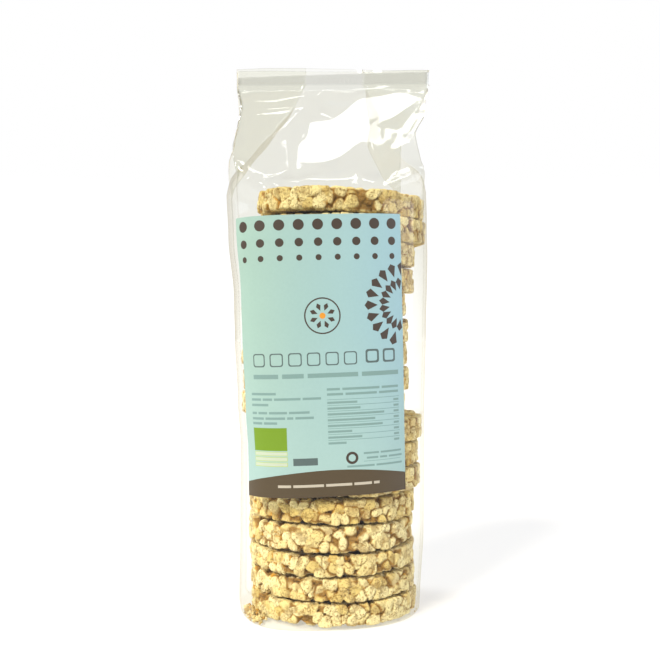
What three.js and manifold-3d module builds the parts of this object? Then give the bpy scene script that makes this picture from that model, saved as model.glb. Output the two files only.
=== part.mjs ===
// A clear film bag that holds a stack of puffed wheat cakes, with a paper label stuck to its front.
//
// Millimetres, +Z up. The origin is the centre of the bag's flat base, and the label faces -Y.
// The bag is one solid with the outer form of the film and what it holds. From the bottom up it is:
//   sleeve  the film round the stack, a rounded box drawn in a little between the cakes
//   head    the empty film above the stack, closing like a gable, with a gusset folded in at each side
//   seal    the flat welded strip along the top
// The label is a thin plate bent round the sleeve, and it passes the sleeve's left corner.

import * as THREE from "three";
import { mergeVertices } from "three/addons/utils/BufferGeometryUtils.js";
import Module from "manifold-3d";

// The cakes
const CAKE_COUNT = 17;
const CAKE_PITCH = 13.2; // one cake's thickness with the gap to the next
const CAKE_RADIUS = 45;
const STACK_TOP = CAKE_COUNT * CAKE_PITCH;

// The film round the stack: a superellipse whose left and right halves differ. For each half it gives,
// at heights up the stack, [height, how far the film reaches to that side, how square its corners are].
// A squareness of 2 is an ellipse, and more is squarer. The film hugs the cakes on the right.
const SLEEVE_LEFT = [
  [0, 48.6, 3], [45, 47.9, 3.1], [87, 47.4, 3.3], [112, 48.8, 3.5],
  [147, 50.2, 3.8], [168, 50.6, 3.9], [201, 53.4, 4.2], [226, 54.3, 4.2],
];
const SLEEVE_RIGHT = [
  [0, 48.8, 2.3], [48, 51, 2.3], [97, 50.9, 2.3], [113, 51, 2.3],
  [147, 51.6, 2.3], [189, 52.6, 2.2], [205, 52.2, 2.2], [226, 51.5, 2.2],
];
const SLEEVE_HALF_DEPTH = 46.4;
const SLEEVE_SIDES = 56;
const SHOULDER_Z = STACK_TOP + 1.6;
const BASE_ROUNDING = 3; // radius of the fold where the walls turn under the base
const BASE_ROUNDING_STEPS = 3;
const TOP_ROUNDING = 1.2; // how far the wall turns in where the head starts
const DRAWN_IN = 1.1; // how far the film sinks between two cakes where it touches them
const TOUCH_GAP = 7; // the film is drawn in less the further it stands off the cakes, down to none here
const CAKE_RING_HEIGHTS = [0, 0.22, 0.78]; // the sleeve's rings in each cake, as shares of the pitch

// The head, from the shoulder to the seal
const CORNER_TURN = 0.33 * Math.PI; // from the middle of the front or back round to its corner with a side
const CORNER_DEPTH = 34; // from the middle plane forward to the front's edge, at the shoulder
const CORNER_SKEW = 3; // how much more than that it is at the left, and less at the right
const FLAT_FROM = 225; // the height at which the panels start to lean in
const FLAT_TO = 273.5; // the height at which they meet
const GUSSET_DEPTH = 36.5; // how far each side is folded in at the seal
const SEAL_BOTTOM_Z = 276.5;
const SEAL_HEIGHT = 10;
const SEAL_HALF_THICKNESS = 0.75;
// The seal runs up to the right, more along its foot than along its top
const LIFT_FROM = 232;
const LIFT_AT_LEFT = 1.6;
const LIFT_PER_MM = 0.042;
const TOP_LIFT_PER_MM = 0.016;
// The left and the right edge of the head's front and back, as [share of the head's height, x]
const HEAD_LEFT = [[0, -50], [0.12, -53], [0.34, -52.4], [0.55, -49.5], [0.75, -47.3], [1, -48.8]];
const HEAD_RIGHT = [[0, 48], [0.1, 45.5], [0.28, 43.6], [0.5, 43], [0.73, 50.3], [1, 54.6]];
const HEAD_BULGE = 3.5; // how far the front and the back stand out halfway up
const PANEL_THICKNESS = 1.2; // the front and the back with a gusset folded against each
const HEAD_SUNK = 0.8; // how far the head's foot is below the sleeve's top, so that the two join
const HEAD_INSET = 0.5; // and how far inside the sleeve's outline
const SQUARED_BY = 0.3; // the share of the head's height by which the front and the back have turned flat
const GUSSET_FLAT = [0.08, 0.38]; // the shares of it between which each gusset turns from round to flat
const HEAD_RINGS = 14;
const PANEL_STEPS = 24;
const SIDE_STEPS = 6;

// Long folds in the head's front and back, each a straight crest that falls away to both sides:
// the two ends as [x, share of the head's height], how far it stands out, and its half width
const FRONT_FOLDS = [
  { from: [-47, 0.05], to: [-12, 0.86], out: 1.8, halfWidth: 12 },
  { from: [-30, 0.02], to: [46, 0.34], out: 2.2, halfWidth: 13 },
  { from: [36, 0.46], to: [50, 0.8], out: -2.0, halfWidth: 11 },
  { from: [-8, 0.62], to: [38, 0.8], out: 2.4, halfWidth: 14 },
];
const BACK_FOLDS = [
  { from: [-44, 0.2], to: [20, 0.7], out: -2.2, halfWidth: 14 },
  { from: [44, 0.1], to: [10, 0.6], out: -2.0, halfWidth: 13 },
];

// The label
const LABEL_WIDTH = 86.6; // measured round the sleeve
const LABEL_HEIGHT = 138.7;
const LABEL_CENTRE_S = -10.2; // round the sleeve from the middle of its front, minus is to the left
const LABEL_CENTRE_Z = 137.4;
const LABEL_TILT = THREE.MathUtils.degToRad(1.8);
const LABEL_GAP = 0.3; // from the sleeve to the label's back
const LABEL_THICKNESS = 0.4;
const LABEL_COLUMNS = 30;
const LABEL_ROWS = 10;

const { lerp, smoothstep, clamp } = THREE.MathUtils;
const wasm = await Module();
wasm.setup();

// The value at a place on a curve given as [place, value, further value] entries, eased between them
function along(curve, place, which = 1) {
  const i = curve.findIndex(([at]) => at > place);
  if (i === 0) return curve[0][which];
  if (i < 0) return curve.at(-1)[which];
  const [before, after] = [curve[i - 1], curve[i]];
  return lerp(before[which], after[which], smoothstep(place, before[0], after[0]));
}

function signedPower(value, exponent) {
  return Math.sign(value) * Math.abs(value) ** exponent;
}

// The film's point round the sleeve at an angle, at a height, before it is drawn in.
// Angle 0 is the right side, and it runs to the back.
function sleevePoint(angle, z) {
  const half = Math.cos(angle) < 0 ? SLEEVE_LEFT : SLEEVE_RIGHT;
  const reach = along(half, z);
  const exponent = 2 / along(half, z, 2);
  return new THREE.Vector2(
    reach * signedPower(Math.cos(angle), exponent),
    SLEEVE_HALF_DEPTH * signedPower(Math.sin(angle), exponent),
  );
}

// How far the film is drawn in at a point: most at the gap between two cakes, and only where it touches them
function drawnIn(point, z) {
  if (z < CAKE_PITCH / 2 || z > STACK_TOP + 0.1) return 0;
  const share = (z / CAKE_PITCH) % 1;
  const betweenCakes = Math.abs(2 * share - 1) ** 4;
  const gap = point.length() - CAKE_RADIUS;
  return DRAWN_IN * betweenCakes * (1 - smoothstep(gap, 1, TOUCH_GAP));
}

// A ring of points, inset towards the axis
function sleeveRing(z, inset) {
  return Array.from({ length: SLEEVE_SIDES }, (_, i) => {
    const point = sleevePoint((2 * Math.PI * i) / SLEEVE_SIDES, z);
    const distance = point.length();
    point.multiplyScalar((distance - inset - drawnIn(point, z)) / distance);
    return new THREE.Vector3(point.x, point.y, z);
  });
}

// A closed geometry through rings of equally many points, from the bottom ring to the top one.
// Seen from above the rings run anticlockwise. Both ends are triangulated flat.
function loft(rings) {
  const sides = rings[0].length;
  const positions = rings.flat().flatMap((p) => [p.x, p.y, p.z]);
  const index = [];
  for (let ring = 0; ring < rings.length - 1; ring += 1) {
    for (let i = 0; i < sides; i += 1) {
      const next = (i + 1) % sides;
      const [a, b] = [ring * sides + i, ring * sides + next];
      const [c, d] = [a + sides, b + sides];
      index.push(a, b, d, a, d, c);
    }
  }
  for (const [ring, flip] of [[0, true], [rings.length - 1, false]]) {
    const outline = rings[ring].map((p) => new THREE.Vector2(p.x, p.y));
    for (const [a, b, c] of THREE.ShapeUtils.triangulateShape(outline, [])) {
      const [i, j, k] = [a, b, c].map((v) => ring * sides + v);
      index.push(...(flip ? [i, k, j] : [i, j, k]));
    }
  }
  const geometry = new THREE.BufferGeometry();
  geometry.setAttribute("position", new THREE.Float32BufferAttribute(positions, 3));
  geometry.setIndex(index);
  return geometry;
}

function solidOf(geometry) {
  const bare = geometry.clone();
  bare.deleteAttribute("normal");
  bare.deleteAttribute("uv");
  const merged = mergeVertices(bare, 1e-3);
  return new wasm.Manifold(
    new wasm.Mesh({
      numProp: 3,
      vertProperties: merged.attributes.position.array,
      triVerts: new Uint32Array(merged.index.array),
    }),
  );
}

function geometryOf(solid) {
  const { vertProperties, triVerts } = solid.getMesh();
  const geometry = new THREE.BufferGeometry();
  geometry.setAttribute("position", new THREE.BufferAttribute(vertProperties, 3));
  geometry.setIndex(new THREE.BufferAttribute(triVerts, 1));
  geometry.computeVertexNormals();
  return geometry;
}

function sleeveSolid() {
  const rings = [];
  for (let step = 0; step <= BASE_ROUNDING_STEPS; step += 1) {
    const angle = (step / BASE_ROUNDING_STEPS) * (Math.PI / 2);
    const z = BASE_ROUNDING * (1 - Math.cos(angle));
    rings.push(sleeveRing(z, BASE_ROUNDING * (1 - Math.sin(angle))));
  }
  for (let cake = 0; cake < CAKE_COUNT; cake += 1) {
    for (const share of CAKE_RING_HEIGHTS) {
      const z = (cake + share) * CAKE_PITCH;
      if (z > BASE_ROUNDING) rings.push(sleeveRing(z, 0));
    }
  }
  rings.push(sleeveRing(STACK_TOP, 0), sleeveRing(SHOULDER_Z, TOP_ROUNDING));
  return solidOf(loft(rings));
}

// How far the folds push a panel outwards at a point of it
function foldedOut(folds, x, share) {
  const headHeight = SEAL_BOTTOM_Z - SHOULDER_Z;
  const point = new THREE.Vector2(x, share * headHeight);
  const settled = Math.sin(Math.PI * clamp(share, 0, 1)) ** 0.5; // none at the shoulder or the seal
  return folds.reduce((sum, { from, to, out, halfWidth }) => {
    const start = new THREE.Vector2(from[0], from[1] * headHeight);
    const crest = new THREE.Vector2(to[0], to[1] * headHeight).sub(start);
    const t = clamp(point.clone().sub(start).dot(crest) / crest.lengthSq(), 0, 1);
    const distance = point.distanceTo(start.clone().addScaledVector(crest, t));
    return sum + settled * out * Math.max(0, 1 - distance / halfWidth);
  }, 0);
}

// How wide the hollow between the two gussets is at a share of the head's height, as a share of the panel
function hollowAcross(share) {
  return 1 - (2 * GUSSET_DEPTH * share) / (along(HEAD_RIGHT, share) - along(HEAD_LEFT, share));
}

// A point of the head's front or back panel. across is -1 at the left edge and 1 at the right one,
// share is 0 at the shoulder and 1 at the seal, and depth is how far it is inside the film.
// The panel leaves the shoulder along the sleeve's outline and turns flat above it.
function panelPoint(side, across, share, depth) {
  const z = share > 0 ? lerp(SHOULDER_Z, SEAL_BOTTOM_Z, share) : SHOULDER_Z - HEAD_SUNK;
  const folds = side < 0 ? FRONT_FOLDS : BACK_FOLDS;
  const x = lerp(along(HEAD_LEFT, share), along(HEAD_RIGHT, share), (across + 1) / 2);
  const leant = clamp((z - FLAT_FROM) / (FLAT_TO - FLAT_FROM), 0, 1);
  const corner = CORNER_DEPTH - CORNER_SKEW * across;
  const atEdge = lerp(corner, SEAL_HALF_THICKNESS, leant);
  const belly = (SLEEVE_HALF_DEPTH - corner) * (1 - leant);
  const bulge = HEAD_BULGE * Math.sin(Math.PI * share) + belly;
  const flat = new THREE.Vector2(x, side * (atEdge + bulge * (1 - across ** 2) + foldedOut(folds, x, share)));
  const round = sleevePoint(side * (Math.PI / 2 - across * CORNER_TURN), SHOULDER_Z);
  round.multiplyScalar(1 - HEAD_INSET / round.length());
  const place = round.lerp(flat, smoothstep(share, 0, SQUARED_BY));
  return new THREE.Vector3(place.x, place.y - side * depth, z);
}

// A panel with the gusset folded against it, as a plate
function panelSolid(side) {
  const rings = Array.from({ length: HEAD_RINGS + 1 }, (_, i) => {
    const skin = (depth) =>
      Array.from({ length: PANEL_STEPS + 1 }, (_, k) =>
        panelPoint(side, (2 * k) / PANEL_STEPS - 1, i / HEAD_RINGS, depth),
      );
    const ring = [...skin(0), ...skin(PANEL_THICKNESS).reverse()];
    return side < 0 ? ring : ring.reverse();
  });
  return solidOf(loft(rings));
}

// What the panels and the two gussets enclose
function hollowSolid() {
  const rings = Array.from({ length: HEAD_RINGS + 1 }, (_, i) => {
    const share = i / HEAD_RINGS;
    const reach = hollowAcross(share);
    const place = (side, across) => panelPoint(side, across * reach, share, PANEL_THICKNESS / 2);
    const front = Array.from({ length: PANEL_STEPS + 1 }, (_, k) => place(-1, (2 * k) / PANEL_STEPS - 1));
    const back = Array.from({ length: PANEL_STEPS + 1 }, (_, k) => place(1, 1 - (2 * k) / PANEL_STEPS));
    const roundness = 1 - smoothstep(share, ...GUSSET_FLAT);
    const sideTurn = Math.PI / 2 - CORNER_TURN;
    const gusset = (from, to) =>
      Array.from({ length: SIDE_STEPS - 1 }, (_, k) => {
        const t = (k + 1) / SIDE_STEPS;
        const point = from.clone().lerp(to, t);
        const reachAt = (turn) => Math.abs(sleevePoint(point.x > 0 ? turn : Math.PI - turn, SHOULDER_Z).x);
        point.x += Math.sign(point.x) * roundness * (reachAt((2 * t - 1) * sideTurn) - reachAt(sideTurn));
        return point;
      });
    return [...front, ...gusset(front.at(-1), back[0]), ...back, ...gusset(back.at(-1), front[0])];
  });
  return solidOf(loft(rings));
}

function sealSolid() {
  const sunk = 0.5; // into the head, so that the two join
  const [left, right] = [along(HEAD_LEFT, 1), along(HEAD_RIGHT, 1)];
  const strip = new THREE.BoxGeometry(right - left, 2 * SEAL_HALF_THICKNESS, SEAL_HEIGHT + sunk);
  strip.translate((left + right) / 2, 0, SEAL_BOTTOM_Z + (SEAL_HEIGHT - sunk) / 2);
  return solidOf(strip);
}

// Raises a point of the head, so that the seal runs up to the right
function liftPoint(point) {
  const fromLeft = point[0] - along(HEAD_LEFT, 1);
  const upSeal = clamp((point[2] - SEAL_BOTTOM_Z) / SEAL_HEIGHT, 0, 1);
  const lift = LIFT_AT_LEFT + lerp(LIFT_PER_MM, TOP_LIFT_PER_MM, upSeal) * fromLeft;
  point[2] += smoothstep(point[2], LIFT_FROM, SEAL_BOTTOM_Z) * lift;
}

function bag() {
  const head = hollowSolid().add(panelSolid(-1)).add(panelSolid(1)).add(sealSolid());
  const geometry = geometryOf(sleeveSolid().add(head).warp(liftPoint));
  const film = new THREE.MeshStandardMaterial({ color: 0xe8dcb0, roughness: 0.35, metalness: 0 });
  const mesh = new THREE.Mesh(geometry, film);
  mesh.name = "bag";
  return mesh;
}

// The sleeve's outline at one height as angles and the distance round to each, from the middle of its front
function frontArc(z) {
  const steps = 240;
  const reach = 0.42 * Math.PI; // to each side of the front's middle
  const arc = [];
  let distance = 0;
  for (let i = 0; i <= steps; i += 1) {
    const angle = -Math.PI / 2 - reach + (2 * reach * i) / steps;
    const point = sleevePoint(angle, z);
    if (i > 0) distance += point.distanceTo(arc[i - 1].point);
    arc.push({ point, distance });
  }
  const middle = arc[steps / 2].distance;
  return arc.map(({ point, distance: d }) => ({ point, s: d - middle }));
}

// The point at distance s round the sleeve's front, moved out from the film
function onFront(s, z, out) {
  const arc = frontArc(z);
  const i = clamp(arc.findIndex((a) => a.s >= s), 1, arc.length - 1);
  const [a, b] = [arc[i - 1], arc[i]];
  const t = (s - a.s) / (b.s - a.s);
  const point = a.point.clone().lerp(b.point, t);
  const onward = b.point.clone().sub(a.point).normalize();
  return new THREE.Vector3(point.x + onward.y * out, point.y - onward.x * out, z);
}

function label() {
  const columns = LABEL_COLUMNS + 1;
  const rows = LABEL_ROWS + 1;
  const positions = [];
  for (const out of [LABEL_GAP + LABEL_THICKNESS, LABEL_GAP]) {
    for (let row = 0; row < rows; row += 1) {
      for (let column = 0; column < columns; column += 1) {
        const u = (column / LABEL_COLUMNS - 0.5) * LABEL_WIDTH;
        const v = (row / LABEL_ROWS - 0.5) * LABEL_HEIGHT;
        const s = LABEL_CENTRE_S + u * Math.cos(LABEL_TILT) - v * Math.sin(LABEL_TILT);
        const z = LABEL_CENTRE_Z + u * Math.sin(LABEL_TILT) + v * Math.cos(LABEL_TILT);
        positions.push(...onFront(s, z, out).toArray());
      }
    }
  }
  const back = rows * columns;
  const index = [];
  const quad = (a, b, c, d) => index.push(a, b, c, a, c, d);
  for (let row = 0; row < LABEL_ROWS; row += 1) {
    for (let column = 0; column < LABEL_COLUMNS; column += 1) {
      const a = row * columns + column;
      quad(a, a + 1, a + 1 + columns, a + columns);
      quad(back + a, back + a + columns, back + a + 1 + columns, back + a + 1);
    }
  }
  const rim = [
    ...Array.from({ length: LABEL_COLUMNS }, (_, i) => i),
    ...Array.from({ length: LABEL_ROWS }, (_, i) => LABEL_COLUMNS + i * columns),
    ...Array.from({ length: LABEL_COLUMNS }, (_, i) => back - 1 - i),
    ...Array.from({ length: LABEL_ROWS }, (_, i) => back - columns - i * columns),
  ];
  rim.forEach((a, i) => {
    const b = rim[(i + 1) % rim.length];
    quad(a, back + a, back + b, b);
  });
  const geometry = new THREE.BufferGeometry();
  geometry.setAttribute("position", new THREE.Float32BufferAttribute(positions, 3));
  geometry.setIndex(index);
  geometry.computeVertexNormals();
  const paper = new THREE.MeshStandardMaterial({ color: 0xb4dcd6, roughness: 0.5, metalness: 0 });
  const mesh = new THREE.Mesh(geometry, paper);
  mesh.name = "label";
  return mesh;
}

const pack = new THREE.Group();
pack.add(bag(), label());

export default pack;
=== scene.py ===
"""A clear side-gusseted film bag with a stack of puffed wheat cakes in it, and a paper label on its front.

The stack, the crumbs, the film and the label are each built here in millimetres, in the frame of the
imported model, and scaled to metres at the end. The film is one thin skin: base, sleeve, head and seal.
"""

import itertools
import math

import bpy
import numpy as np
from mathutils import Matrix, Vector
from mathutils.geometry import delaunay_2d_cdt


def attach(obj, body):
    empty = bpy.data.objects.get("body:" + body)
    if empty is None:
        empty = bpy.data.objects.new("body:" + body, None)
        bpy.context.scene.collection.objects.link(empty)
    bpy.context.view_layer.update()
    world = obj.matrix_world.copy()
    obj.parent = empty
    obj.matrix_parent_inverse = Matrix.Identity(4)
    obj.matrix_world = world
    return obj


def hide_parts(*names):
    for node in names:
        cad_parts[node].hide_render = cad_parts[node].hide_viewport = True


MM = 0.001

# The cakes, from the bottom one up: thickness, how far each has slid to the right, and its tilt to the right
CAKE_RADIUS = 44.8
CAKE_FOOT = 0.9
CAKE_GAP = 0.35
CAKE_SKIN = 2.9
CAKE_COLUMNS = 440
CAKE_THICKNESSES = [12.0, 12.5, 11.4, 14.2, 13.4] + [12.8, 12.4, 12.7, 12.5] * 3
CAKE_SLIDES = [2.6, 2.2, 1.5, 1, 1.6, 4.8, 4.6, 6.2, -2.9, -1.6, -2.6, -2.2, -3, 0.6, 1.2, 6.8, 6.1]
CAKE_TILTS = [0, 0.3, -0.4, 0.2, 0.5, -0.3, 0.2, -0.5, 0.4, 0.3, -0.2, 0.3, -0.4, 0.3, -0.3, 1.2, 2.6]

# The film's outline round the stack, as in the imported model, to the left and to the right, as
# [height, reach, squareness]
SLEEVE_LEFT = [
    [0, 48.6, 3], [45, 47.9, 3.1], [87, 47.4, 3.3], [112, 48.8, 3.5], [147, 50.2, 3.8], [168, 50.6, 3.9],
    [201, 53.4, 4.2], [226, 54.3, 4.2],
]
SLEEVE_RIGHT = [
    [0, 48.8, 2.3], [48, 51, 2.3], [97, 50.9, 2.3], [113, 51, 2.3], [147, 51.6, 2.3], [189, 52.6, 2.2],
    [205, 52.2, 2.2], [226, 51.5, 2.2],
]
SLEEVE_HALF_DEPTH = 46.4
SHOULDER_Z = 222
BASE_ROUNDING = 3

# The head: the left and right edge of its front and back, as [share of the way up to the seal, x]
HEAD_LEFT = [[0, -50], [0.12, -53], [0.34, -52.4], [0.55, -49.5], [0.75, -47.3], [1, -48.8]]
HEAD_RIGHT = [[0, 48], [0.1, 45.5], [0.28, 43.6], [0.5, 43], [0.73, 50.3], [1, 54.6]]
GUSSET_DEPTH = 36.5
CORNER_TURN = 0.33 * math.pi
CORNER_DEPTH = 34
CORNER_SKEW = 3
FLAT_FROM = 225
FLAT_TO = 273.5
SEAL_BOTTOM_Z = 276.5
WELD_TOP_Z = 280.4
LIP_TOP_Z = 286.4
# How steeply the seal runs up to the right at its foot, and how much less so at its lip 10 mm above
SEAL_RISE = 0.042
LIP_FALL = 0.026

# The label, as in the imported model
LABEL_WIDTH = 86.6
LABEL_HEIGHT = 138.7
LABEL_CENTRE_S = -10.2
LABEL_CENTRE_Z = 137.4
LABEL_TILT = math.radians(1.8)
LABEL_STANDS_OFF = 0.7
PAPER_THICKNESS = 0.12


# ---- Small helpers ----


def linear(hex_colour, alpha=1):
    """An sRGB hex colour such as "#D8C48A" as the linear colour that a shader takes."""
    parts = [int(hex_colour[i : i + 2], 16) / 255 for i in (1, 3, 5)]
    return [c / 12.92 if c <= 0.04045 else ((c + 0.055) / 1.055) ** 2.4 for c in parts] + [alpha]


def ease(value, low, high):
    """0 below low, 1 above high, and eased between them."""
    t = np.clip((value - low) / (high - low), 0, 1)
    return t * t * (3 - 2 * t)


def keyed(curve, place, column=1):
    """The value at a place on a curve given as rows of [place, value, ...], eased between them."""
    table = np.array(curve, float)
    places, values = table[:, 0], table[:, column]
    i = np.clip(np.searchsorted(places, place, side="right") - 1, 0, len(places) - 2)
    return values[i] + (values[i + 1] - values[i]) * ease(place, places[i], places[i + 1])


def noise(points, size, seed=0):
    """Smooth noise from -1 to 1 at points of any number of dimensions, in lumps of about that size."""
    p = np.asarray(points, float) / size + 31.7 * seed + 1000
    cell = np.floor(p).astype(np.int64)
    f = p - cell
    f = f * f * (3 - 2 * f)
    total = np.zeros(p.shape[:-1])
    for corner in itertools.product((0, 1), repeat=p.shape[-1]):
        at = cell + np.array(corner)
        code = np.zeros(p.shape[:-1], np.int64) + seed * 7919
        for k, prime in zip(range(p.shape[-1]), (73856093, 19349663, 83492791)):
            code ^= at[..., k] * prime
        code = (code ^ (code >> 13)) * 1274126177 & 0x7FFFFFFF
        value = ((code ^ (code >> 16)) & 0xFFFF) / 32767.5 - 1
        total += value * np.prod(np.where(corner, f, 1 - f), axis=-1)
    return total


def mesh_piece(name, points, faces, material, marks=None):
    """A smooth mesh object from points in mm, with a value at each point for each named mark."""
    mesh = bpy.data.meshes.new(name)
    mesh.from_pydata((np.asarray(points) * MM).tolist(), [], [list(map(int, f)) for f in faces])
    mesh.shade_smooth()
    for mark, values in (marks or {}).items():
        attribute = mesh.attributes.new(mark, "FLOAT", "POINT")
        attribute.data.foreach_set("value", np.asarray(values, np.float32).ravel())
    mesh.materials.append(material)
    mesh.validate()
    piece = bpy.data.objects.new(name, mesh)
    bpy.context.scene.collection.objects.link(piece)
    return piece


def grid_faces(rows, columns, closed=False):
    """Quads over a grid of points stored row by row. A closed grid joins its last column to its first."""
    r, c = np.meshgrid(np.arange(rows - 1), np.arange(columns if closed else columns - 1), indexing="ij")
    a = (r * columns + c).ravel()
    b = (r * columns + (c + 1) % columns).ravel()
    return np.stack([a, b, b + columns, a + columns], 1)


# ---- Materials ----


def add(tree, kind, settings=None, links=None, **properties):
    """Adds a node. settings are values of its inputs. links are sockets, or nodes for their first socket."""
    node = tree.nodes.new("ShaderNode" + kind)
    for name, value in properties.items():
        setattr(node, name, value)
    for name, value in (settings or {}).items():
        node.inputs[name].default_value = value
    for name, source in (links or {}).items():
        socket = source.outputs[0] if isinstance(source, bpy.types.Node) else source
        tree.links.new(socket, node.inputs[name])
    return node


def new_material(name):
    material = bpy.data.materials.new(name)
    material.use_nodes = True
    material.node_tree.nodes.clear()
    return material, material.node_tree


def puffed_wheat():
    """Durum wheat puffed and pressed in a hot mould: a matte, pale, blistered starch foam.

    The eye sees cream lumps with fine wrinkles and pores, and ochre bran skin in some hollows. Painted
    shade:
    golden brown along the wrinkles and where a lump turns in to its neighbour, and olive in the gaps.
    """
    material, tree = new_material("puffed_wheat")
    place = add(tree, "TexCoord").outputs["Object"]
    tone = add(tree, "Attribute", attribute_name="grain_tone").outputs["Fac"]
    shade_and_toast = add(tree, "Attribute", attribute_name="shade_and_toast").outputs["Fac"]
    bran = add(tree, "Attribute", attribute_name="bran").outputs["Fac"]

    # Wrinkles 2.5 mm apart that come and go, and pores and specks of 1 mm
    folds = add(tree, "TexNoise", {"Scale": 380, "Detail": 3, "Distortion": 0.6}, {"Vector": place})
    where = add(tree, "TexNoise", {"Scale": 170, "Detail": 2}, {"Vector": place})
    specks = add(tree, "TexNoise", {"Scale": 820, "Detail": 3, "Roughness": 0.6}, {"Vector": place})
    off_line = add(tree, "Math", {1: 0.5}, {0: folds.outputs["Fac"]}, operation="SUBTRACT")
    off_line = add(tree, "Math", links={0: off_line}, operation="ABSOLUTE")
    line = add(
        tree,
        "MapRange",
        {"From Min": 0.004, "From Max": 0.034, "To Min": 1, "To Max": 0},
        {"Value": off_line},
    )
    some = add(tree, "MapRange", {"From Min": 0.4, "From Max": 0.56}, {"Value": where.outputs["Fac"]})
    wrinkle = add(tree, "Math", links={0: line, 1: some}, operation="MULTIPLY")
    fleck = add(
        tree,
        "MapRange",
        {"From Min": 0.555, "From Max": 0.655, "To Max": 0.8},
        {"Value": specks.outputs["Fac"]},
    )

    starch = add(tree, "Mix", {6: linear("#FFF0B4"), 7: linear("#E6CA78")}, {0: tone}, data_type="RGBA")
    # Painted shade: golden brown where the wheat lies deep in a hollow, a gap or a groove; on crumbs, a
    # toasted tone at random
    golden_shade_and_toast = add(
        tree, "MapRange", {"From Min": 0.09, "From Max": 0.36, "To Max": 0.92}, {"Value": shade_and_toast}
    )
    # Painted shade: each wrinkle's groove is also darkened in the colour
    wrinkle_shade = add(tree, "Math", {1: 0.85}, {0: wrinkle}, operation="MULTIPLY")
    browned = add(
        tree,
        "MapRange",
        {"From Min": 0.52, "From Max": 0.66, "To Max": 0.5},
        {"Value": where.outputs["Fac"]},
    )
    specked = add(tree, "Math", links={0: browned, 1: fleck}, operation="MAXIMUM")
    marked = add(tree, "Math", links={0: wrinkle_shade, 1: specked}, operation="MAXIMUM")
    browning_and_shade = add(tree, "Math", links={0: marked, 1: golden_shade_and_toast}, operation="MAXIMUM")
    browned_and_shaded = add(tree, "Mix", {7: linear("#A0701F")}, {0: browning_and_shade, 6: starch.outputs[2]}, data_type="RGBA")
    skinned = add(tree, "Mix", {7: linear("#D69A26")}, {0: bran, 6: browned_and_shaded.outputs[2]}, data_type="RGBA")
    deep = add(tree, "MapRange", {"From Min": 0.42, "From Max": 0.9, "To Max": 0.85}, {"Value": shade_and_toast})
    shaded = add(tree, "Mix", {7: linear("#7C5E24")}, {0: deep, 6: skinned.outputs[2]}, data_type="RGBA")

    lumps = add(tree, "Math", links={0: folds.outputs["Fac"], 1: specks.outputs["Fac"]}, operation="ADD")
    height = add(tree, "Math", {1: -0.3}, {0: wrinkle, 2: lumps}, operation="MULTIPLY_ADD")
    relief = add(tree, "Bump", {"Strength": 0.9, "Distance": 0.0013}, {"Height": height})
    surface = add(
        tree,
        "BsdfPrincipled",
        {"Roughness": 0.75, "IOR": 1.4},
        {"Base Color": shaded.outputs[2], "Normal": relief},
    )
    add(tree, "OutputMaterial", links={"Surface": surface})
    return material


def clear_film():
    """Cast polypropylene film, 30 micrometres: clear and glossy, faintly grey, milky where it is welded.

    Straight on it nearly vanishes. It mirrors the lamps as white patches and streaks along its creases,
    and more of it at a slant. The layers of front and back add up to a pale grey.
    """
    material, tree = new_material("clear_film")
    weld = add(tree, "Attribute", attribute_name="weld").outputs["Fac"]
    clear = add(tree, "Attribute", attribute_name="clear").outputs["Fac"]
    slant = add(tree, "LayerWeight", {"Blend": 0.5}).outputs["Facing"]
    steep = add(tree, "Math", {1: 4}, {0: slant}, operation="POWER")
    open_air = add(tree, "Math", {1: 0.7, 2: 0.036}, {0: steep}, operation="MULTIPLY_ADD")
    pressed = add(tree, "Math", {1: -0.5, 2: 1}, {0: clear}, operation="MULTIPLY_ADD")
    mirror = add(tree, "Math", links={0: open_air, 1: pressed}, operation="MULTIPLY")
    tint = add(tree, "Mix", {6: linear("#F6F6F2"), 7: linear("#FCFCF9")}, {0: clear}, data_type="RGBA")
    welded = add(tree, "Mix", {7: linear("#ECECE9")}, {0: weld, 6: tint.outputs[2]}, data_type="RGBA")
    edge_on = add(tree, "Math", {1: 6}, {0: slant}, operation="POWER")
    long_way = add(tree, "Math", {1: 0.6}, {0: edge_on}, operation="MULTIPLY")
    passed = add(tree, "Mix", {7: linear("#D8CCA8")}, {0: long_way, 6: welded.outputs[2]}, data_type="RGBA")
    through = add(tree, "BsdfTransparent", links={"Color": passed.outputs[2]})
    milk = add(tree, "BsdfDiffuse", {"Color": linear("#DEDED4")})
    haze = add(tree, "Math", {1: 0.05, 2: 0.004}, {0: weld}, operation="MULTIPLY_ADD")
    body = add(tree, "MixShader", links={0: haze, 1: through, 2: milk})
    shine = add(tree, "BsdfGlossy", {"Color": (1, 1, 1, 1), "Roughness": 0.06})
    surface = add(tree, "MixShader", links={0: mirror, 1: body, 2: shine})
    add(tree, "OutputMaterial", links={"Surface": surface})
    return material


def printed_paper(name, hex_colour):
    """Coated label paper, offset printed: an even ink with a soft satin sheen and a trace of fibre."""
    material, tree = new_material(name)
    place = add(tree, "TexCoord").outputs["Object"]
    fibre = add(tree, "TexNoise", {"Scale": 700, "Detail": 3}, {"Vector": place})
    cloud = add(tree, "MapRange", {"To Min": 0.965, "To Max": 1.035}, {"Value": fibre.outputs["Fac"]})
    tinted = add(tree, "VectorMath", {0: linear(hex_colour)[:3]}, {"Scale": cloud}, operation="SCALE")
    tooth = add(tree, "Bump", {"Strength": 0.08, "Distance": 0.0001}, {"Height": fibre.outputs["Fac"]})
    surface = add(
        tree, "BsdfPrincipled", {"Roughness": 0.5, "IOR": 1.45}, {"Base Color": tinted, "Normal": tooth}
    )
    add(tree, "OutputMaterial", links={"Surface": surface})
    return material


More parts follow.
